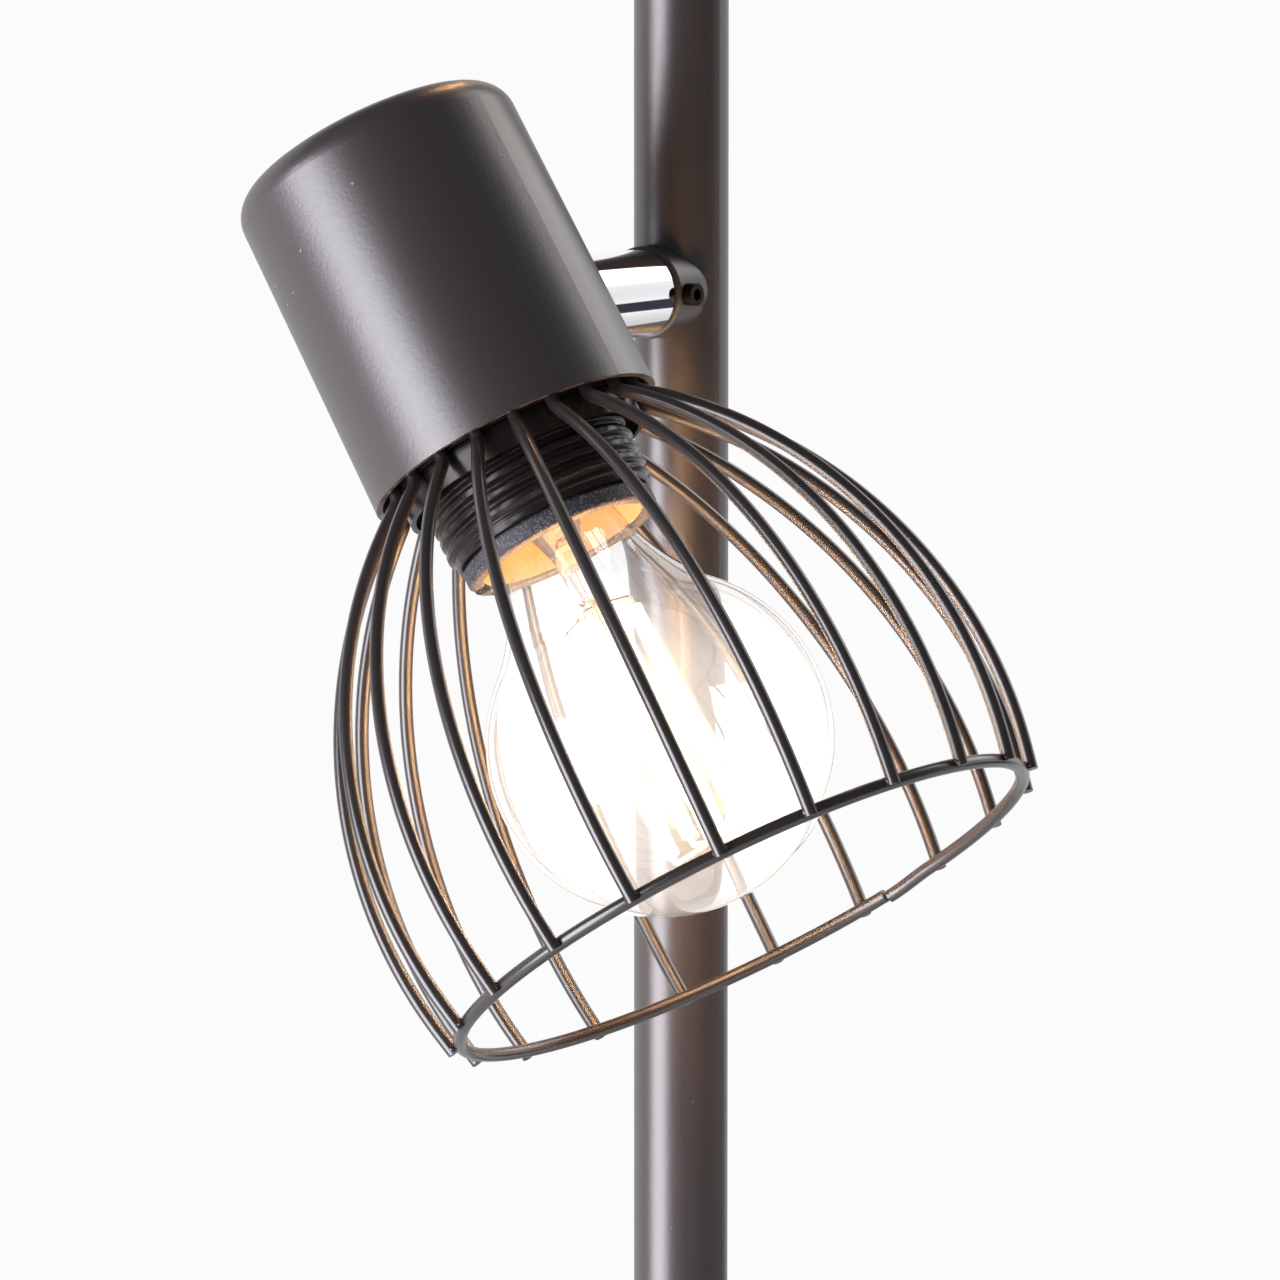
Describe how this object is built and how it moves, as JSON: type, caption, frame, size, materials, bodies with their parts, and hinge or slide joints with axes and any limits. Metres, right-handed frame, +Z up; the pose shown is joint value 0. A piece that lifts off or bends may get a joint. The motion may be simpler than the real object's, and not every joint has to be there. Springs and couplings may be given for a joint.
{
  "type": "floor lamp",
  "caption": "Slim black floor lamp: round weighted base, straight pole and small cup spot heads with domed wire cages round clear round bulbs, each turning on a chrome arm.",
  "frame": {"origin": "centre of the base's underside, on the pole's axis", "axes": "+Z up along the pole; -Y the way the lower head's arm points; +X the way the lower head's cage leans at rest; +Y the cord inlet side"},
  "size_m": [0.23, 0.2315, 1.4255],
  "materials": {
    "black_powder": "satin black powder coat",
    "black_wire": "semi-gloss black coat on wire",
    "chrome": "bright chrome plate",
    "black_plastic": "glossy black moulding",
    "matte_black_plastic": "matte speckled black moulding",
    "white_plastic": "plain white moulding",
    "black_rubber": "matte rubber",
    "felt_black": "felt",
    "cast_iron": "rough cast",
    "zinc_steel": "zinc plated",
    "black_steel": "blackened steel",
    "brass": "bright brass",
    "bright_wire": "bright wire",
    "clear_glass": "clear",
    "black_glass": "glossy black",
    "filament": "warm light-emitting coating",
    "lead_sheath": "smooth sheath"
  },
  "bodies": {
    "stand": {"base_pad": "felt_black", "base_weight": "cast_iron", "base_cover": "black_powder", "base_nipple": "zinc_steel", "base_nut": "zinc_steel", "terminal_block": "white_plastic", "inlet_grommet": "black_rubber", "pole_lower": "black_powder", "pole_middle": "black_powder", "pole_upper": "black_powder", "pole_joiners": "zinc_steel", "pole_cap": "black_plastic", "stand_leads": "lead_sheath", "lower_stub": "black_powder", "lower_set_screw": "black_steel", "upper_stub": "black_powder", "upper_set_screw": "black_steel"},
    "lower_head": {"lower_arm": "chrome", "lower_arm_nut": "zinc_steel", "lower_cup": "black_powder", "lower_holder_bracket": "zinc_steel", "lower_holder_nipple": "zinc_steel", "lower_holder_locknut": "zinc_steel", "lower_holder_sleeve": "black_plastic", "lower_holder_core": "matte_black_plastic", "lower_screw_shell": "brass", "lower_centre_contact": "brass", "lower_shade_ring": "black_plastic", "lower_cage_collar": "black_wire", "lower_cage_wires": "black_wire", "lower_cage_rim": "black_wire", "lower_bulb_glass": "clear_glass", "lower_bulb_cap": "brass", "lower_bulb_insulator": "black_glass", "lower_bulb_stem": "clear_glass", "lower_bulb_filaments": "filament", "lower_bulb_leads": "bright_wire", "lower_head_lead": "lead_sheath"},
    "upper_head": {"upper_arm": "chrome", "upper_arm_nut": "zinc_steel", "upper_cup": "black_powder", "upper_holder_bracket": "zinc_steel", "upper_holder_nipple": "zinc_steel", "upper_holder_locknut": "zinc_steel", "upper_holder_sleeve": "black_plastic", "upper_holder_core": "matte_black_plastic", "upper_screw_shell": "brass", "upper_centre_contact": "brass", "upper_shade_ring": "black_plastic", "upper_cage_collar": "black_wire", "upper_cage_wires": "black_wire", "upper_cage_rim": "black_wire", "upper_bulb_glass": "clear_glass", "upper_bulb_cap": "brass", "upper_bulb_insulator": "black_glass", "upper_bulb_stem": "clear_glass", "upper_bulb_filaments": "filament", "upper_bulb_leads": "bright_wire", "upper_head_lead": "lead_sheath"}
  },
  "joints": [
    {"name": "lower_head_turn", "type": "hinge", "parent": "stand", "child": "lower_head", "pos_m": [0, -0.0088, 1.18], "axis": [0, -1, 0], "range_deg": [-182.5, 117.5]},
    {"name": "upper_head_turn", "type": "hinge", "parent": "stand", "child": "upper_head", "pos_m": [0, 0.0088, 1.38], "axis": [0, 1, 0], "range_deg": [-182.5, 117.5]}
  ]
}
